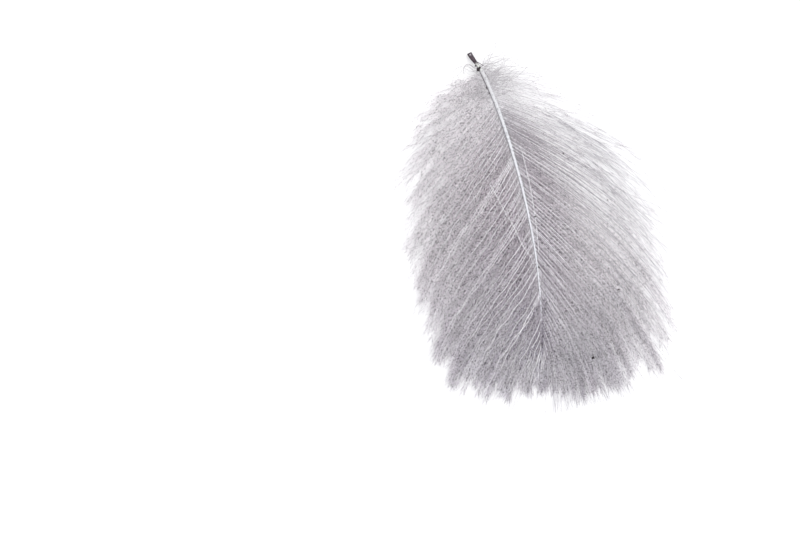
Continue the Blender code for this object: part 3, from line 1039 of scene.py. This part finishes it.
class Paint:
    """A Principled material whose colour is laid on in steps."""

    def __init__(self, name):
        self.material = bpy.data.materials.new(name)
        self.material.use_nodes = True
        self.tree = self.material.node_tree
        self.shader = self.tree.nodes["Principled BSDF"]
        self.colour = None

    def fill(self, node, inputs):
        """Links a node's inputs to sockets, or sets them to plain values."""
        for key, value in inputs.items():
            if isinstance(value, bpy.types.NodeSocket):
                self.tree.links.new(value, node.inputs[key])
            else:
                node.inputs[key].default_value = value

    def node(self, kind, inputs=None, **settings):
        made = self.tree.nodes.new(kind)
        for key, value in settings.items():
            setattr(made, key, value)
        self.fill(made, inputs or {})
        return made

    def attribute(self, name):
        return self.node("ShaderNodeAttribute", attribute_name=name).outputs["Fac"]

    def place(self):
        return self.node("ShaderNodeTexCoord").outputs["Object"]

    def texture(self, place, scale, detail):
        inputs = {"Vector": place, "Scale": scale, "Detail": detail}
        return self.node("ShaderNodeTexNoise", inputs).outputs["Fac"]

    def noise(self, size, detail=3.0, stretch=(1, 1, 1)):
        """Noise over the object, with features of about this size in millimetres."""
        scaled = self.node("ShaderNodeMapping", {"Vector": self.place(), "Scale": stretch})
        return self.texture(scaled.outputs["Vector"], 1 / (size * MM), detail)

    def streaks(self, across_scale, run_scale):
        """Noise in streaks along the barbs, from the barbules' own attributes."""
        across = self.product(self.attribute("across"), across_scale)
        run = self.product(self.attribute("run"), run_scale)
        spot = self.node("ShaderNodeCombineXYZ", {"X": across, "Y": run})
        return self.texture(spot.outputs["Vector"], 1.0, 1.0)

    def between(self, source, low, high, start=0.0, end=1.0):
        """The source's range from start to end, spread from low to high."""
        spread = {"From Min": start, "From Max": end, "To Min": low, "To Max": high}
        return self.node("ShaderNodeMapRange", {"Value": source, **spread}).outputs["Result"]

    def product(self, first, second):
        made = self.node("ShaderNodeMath", {0: first, 1: second}, operation="MULTIPLY")
        return made.outputs["Value"]

    def ramp(self, source, stops):
        made = self.node("ShaderNodeValToRGB", {"Fac": source})
        elements = made.color_ramp.elements
        while len(elements) < len(stops):
            elements.new(0.5)
        for element, (place, colour) in zip(elements, stops):
            element.position = place
            element.color = (*colour, 1)
        return made.outputs["Color"]

    def tint(self, factor, tint, blend_type="MIX"):
        """Draws the colour towards a tint, or multiplies it by one."""
        if isinstance(tint, tuple):
            tint = (*tint, 1)
        inputs = {0: factor, 6: self.colour, 7: tint}
        made = self.node("ShaderNodeMix", inputs, data_type="RGBA", blend_type=blend_type)
        self.colour = made.outputs[2]

    def darken(self, factor, source, dark_end, dark, clear_start):
        """Multiplies the colour by a ramp of the source, from a dark tint to white."""
        shade = self.ramp(source, ((dark_end, dark), (clear_start, (1, 1, 1))))
        self.tint(factor, shade, "MULTIPLY")

    def finish(self, roughness, bump, bump_height, specular=0.3):
        """Links the colour, roughness and a bump of this height in millimetres."""
        inputs = {"Height": bump, "Distance": bump_height * MM, "Strength": BUMP_STRENGTH}
        normal = self.node("ShaderNodeBump", inputs).outputs["Normal"]
        inputs = {"Base Color": self.colour, "Roughness": roughness, "Normal": normal}
        self.fill(self.shader, {**inputs, "Specular IOR Level": specular})
        return self.material


def shaft_material():
    """Dark quill with a painted highlight near its tip, clear neck, then a bluish-white rachis
    with fine streaks and painted shade on its flanks.
    """
    paint = Paint("shaft")
    along, flank_shade = paint.attribute("along"), paint.attribute("flank_shade")
    streaks = paint.noise(0.12, 4.0, (1, 0.06, 1))
    paint.colour = paint.ramp(along, SHAFT_ZONES)
    paint.tint(paint.between(streaks, 0.0, 0.35, 0.35, 0.75), (0.78, 0.74, 0.78), "MULTIPLY")
    # Painted shade: the shaft's flanks darkened, the right one less past the quill
    paint.tint(paint.between(flank_shade, 0.0, 1.0, 0.5, 0.95), (0.42, 0.38, 0.43), "MULTIPLY")
    # Painted highlight: a pale spot on top of the quill just behind its tip, which also pales the
    # inner wall of its hollow
    highlight_span = paint.product(
        paint.between(along, 0.0, 1.0, 0.003, 0.006), paint.between(along, 1.0, 0.0, 0.007, 0.011)
    )
    tip_highlight = paint.product(highlight_span, paint.between(flank_shade, 1.0, 0.0, 0.15, 0.55))
    paint.tint(tip_highlight, (0.4, 0.38, 0.4))
    paint.darken(1.0, paint.noise(0.35, 1.0), 0.3, (0.6, 0.6, 0.61), 0.42)
    return paint.finish(paint.between(streaks, 0.35, 0.6), streaks, 0.02, specular=0.2)


def barb_material(name, dim, bright, tip_colour):
    """Rami whose tone sets how pale they are, uneven along their length; low dim barbs are darker
    partly as painted shade.
    """
    paint = Paint(name)
    along = paint.attribute("along")
    fine = paint.noise(0.3, 2.0)
    # Dim barbs, which lie lower, get the darker colour: partly painted shade
    paint.colour = paint.ramp(paint.attribute("tone"), ((0.0, dim), (0.75, bright)))
    paint.tint(paint.between(along, 0.0, 0.8, 0.4, 1.0), tip_colour)
    paint.tint(paint.between(paint.noise(1.4), 0.0, 0.5, 0.4, 0.75), dim)
    near_quill = paint.between(paint.attribute("vane"), 0.8, 0.0, 0.0, 0.3)
    paint.tint(paint.product(near_quill, paint.between(along, 1.0, 0.45)), (0.78, 0.76, 0.79))
    paint.darken(1.0, fine, 0.36, (0.72, 0.71, 0.72), 0.52)
    return paint.finish(paint.between(fine, 0.45, 0.75), fine, 0.008)


def barbule_material():
    """Mauve-grey barbules, mottled over the vane and bluer towards its tip."""
    paint = Paint("barbules")
    pale = paint.attribute("pale")
    fine = paint.noise(0.21, 0.0, (1, 1, 0.15))
    forward = paint.node("ShaderNodeSeparateXYZ", {"Vector": paint.place()}).outputs["Y"]
    paint.colour = paint.ramp(paint.attribute("tone"), BARBULE_TONES)
    paint.tint(paint.between(forward, 0.0, 0.75, 5 * MM, -19 * MM), (0.53, 0.51, 0.6))
    paint.tint(paint.between(paint.noise(7.0), 0.0, 0.4, 0.4, 0.7), (0.66, 0.58, 0.645))
    paint.tint(pale, (1.0, 0.96, 0.985))
    dashes, streaks = paint.streaks(1.3, 4.0), paint.streaks(2.2, 0.5)
    paint.darken(paint.between(pale, 0.9, 0.52), dashes, 0.35, (0.42, 0.41, 0.42), 0.52)
    paint.darken(paint.between(pale, 1.0, 0.4), streaks, 0.34, (0.78, 0.76, 0.78), 0.56)
    paint.darken(paint.between(pale, 1.0, 0.8), fine, 0.34, (0.2, 0.19, 0.2), 0.49)
    return paint.finish(paint.between(fine, 0.6, 0.9), fine, 0.004, specular=0.2)


def grained_material(name):
    """A material of few tones, with tint, roughness and bump from one grain."""
    attribute, stops, size, tint, spread, roughness, bump_height, specular = GRAINED_LOOKS[name]
    paint = Paint(name)
    grain = paint.noise(size)
    paint.colour = paint.ramp(paint.attribute(attribute), stops)
    paint.tint(paint.between(grain, *spread), tint)
    return paint.finish(paint.between(grain, *roughness), grain, bump_height, specular)


# Setting


def add_floor():
    paint = Paint("floor")
    grain = paint.noise(3.0, 2.0)
    paint.colour = (0.56, 0.56, 0.565, 1)
    paint.tint(grain, (0.58, 0.58, 0.585))
    paint.fill(paint.shader, {"Emission Color": (1, 1, 1, 1), "Emission Strength": FLOOR_GLOW})
    half = FLOOR_SIZE / 2
    data = bpy.data.meshes.new("floor")
    corners = [(-half, -half, 0), (half, -half, 0), (half, half, 0), (-half, half, 0)]
    data.from_pydata(corners, [], [(0, 1, 2, 3)])
    data.materials.append(paint.finish(paint.between(grain, 0.7, 0.8), grain, 0.01, specular=0.1))
    add_object("floor", data)


def add_light():
    world = bpy.data.worlds.new("studio")
    bpy.context.scene.world = world
    world.use_nodes = True
    background = world.node_tree.nodes["Background"]
    background.inputs["Color"].default_value = WORLD_COLOUR
    background.inputs["Strength"].default_value = WORLD_STRENGTH
    lamp = bpy.data.lights.new("key", "AREA")
    lamp.size = KEY_SIZE
    lamp.energy = KEY_POWER
    key = add_object("key", lamp)
    key.location = KEY_PLACE
    key.rotation_euler = (-Vector(KEY_PLACE)).to_track_quat("-Z", "Y").to_euler()


def add_camera():
    lens = bpy.data.cameras.new("camera")
    lens.lens = LENS
    lens.sensor_width = SENSOR_WIDTH
    lens.clip_start, lens.clip_end = CLIP_RANGE
    camera = add_object("camera", lens)
    height = VIEW_PLANE_HEIGHT + VIEW_WIDTH * LENS / SENSOR_WIDTH
    camera.location = Vector((*VIEW_MIDDLE, height)) * MM
    camera.rotation_euler = (0, 0, -VIEW_TURN)
    bpy.context.scene.camera = camera


def main():
    add_camera()
    add_light()
    add_floor()
    dice = np.random.default_rng(SEED)
    sides = {side: barbs_of(side, dice) for side in (LEFT, RIGHT)}
    surface = VaneSurface(sides)

    shaft_piece(shaft_material())
    web = barbule_material()
    # Material of the dark strips that paint shade along the barbs
    shade_strip = grained_material("shade_strips")
    for side, barbs in sides.items():
        name = SIDE_NAMES[side]
        material = barb_material(f"barbs_{name}", *BARB_COLOURS[side])
        tube_piece(f"barbs_{name}", barbs, BARB_SIDES, material)
        # Dark strips under each barb, as painted shade beside it
        tube_piece(f"seams_{name}", shade_strips(barbs), BARB_SIDES, shade_strip, SHADE_STRIP_FLATNESS)
        barbule_pieces(side, barbs, web, dice)
        strays = joined([stray_barbs(side, kind, barbs, surface, dice) for kind in STRAYS[side]])
        tube_piece(f"strays_{name}", strays, STRAY_SIDES, material)
    thread = barb_material("threads", *THREAD_COLOURS)
    tube_piece("loose_threads", loose_threads(surface), BARB_SIDES, thread)
    tube_piece("down", base_down(dice), STRAY_SIDES, grained_material("down"))
    tube_piece("torn_sheath", torn_sheath(), TORN_SIDES, grained_material("sheath"))
    crumb_piece("crumbs", crumb_spots(surface), grained_material("dirt"), dice)
    bpy.context.scene.view_settings.view_transform = "Standard"


main()
